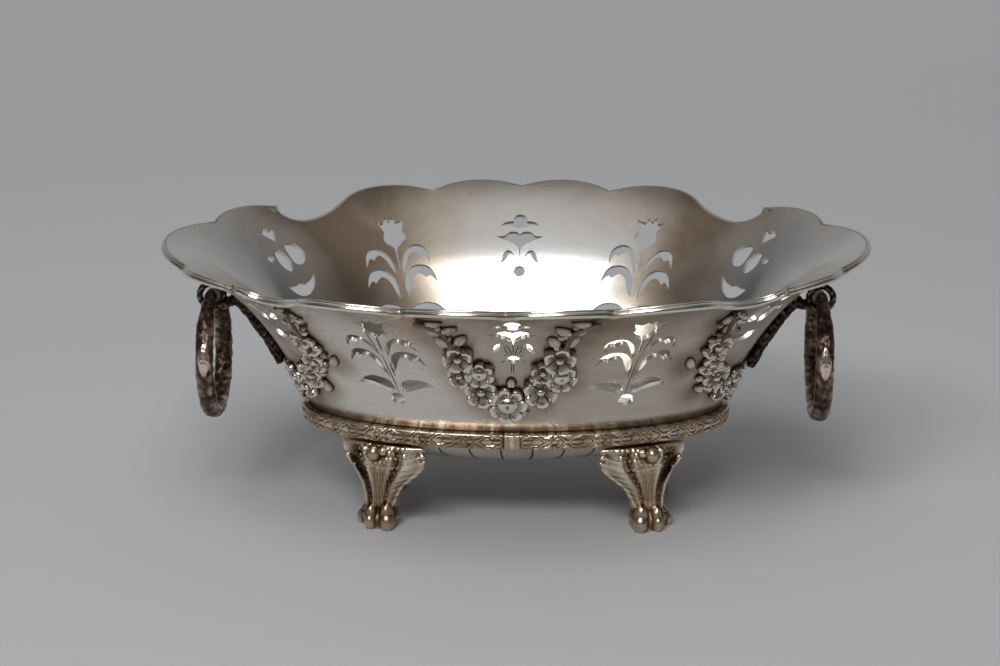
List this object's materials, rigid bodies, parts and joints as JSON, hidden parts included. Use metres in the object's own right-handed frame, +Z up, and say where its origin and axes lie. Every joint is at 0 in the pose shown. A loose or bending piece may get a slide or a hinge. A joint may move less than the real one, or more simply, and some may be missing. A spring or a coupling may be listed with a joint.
{
  "type": "bonbon dish",
  "caption": "Oval pierced silver bonbon dish on paw feet, with a lobed reeded rim, flower garlands, a laurel base ring and swinging ring handles.",
  "frame": {"origin": "on the plane that the feet stand on, under the middle of the bowl", "axes": "+X along the dish towards its right handle, -Y towards the front, +Z up"},
  "size_m": [0.2098, 0.1544, 0.0855],
  "materials": {
    "silver": "tarnished silver sheet, softly brushed",
    "rim_silver": "bright worn silver wire",
    "rose_silver": "warm tarnished cast silver",
    "relief_silver": "cast silver with dark recesses",
    "dark_silver": "dark tarnished cast silver"
  },
  "bodies": {
    "dish": {"bowl": "silver", "rim_border": "rim_silver", "laurel_ring": "rose_silver", "foot_front_left": "rose_silver", "foot_front_right": "rose_silver", "foot_back_left": "rose_silver", "foot_back_right": "rose_silver", "garland_front": "relief_silver", "garland_back": "relief_silver", "garland_left": "relief_silver", "garland_right": "relief_silver", "bracket_left": "dark_silver", "bracket_right": "dark_silver"},
    "handle_left": {"handle_ring_left": "dark_silver"},
    "handle_right": {"handle_ring_right": "dark_silver"}
  },
  "joints": [
    {"name": "handle_left_swing", "type": "hinge", "parent": "dish", "child": "handle_left", "pos_m": [-0.091, 0, 0.067], "axis": [0, 1, 0], "range_deg": [-30, 120]},
    {"name": "handle_right_swing", "type": "hinge", "parent": "dish", "child": "handle_right", "pos_m": [0.091, 0, 0.067], "axis": [0, -1, 0], "range_deg": [-30, 120]}
  ]
}
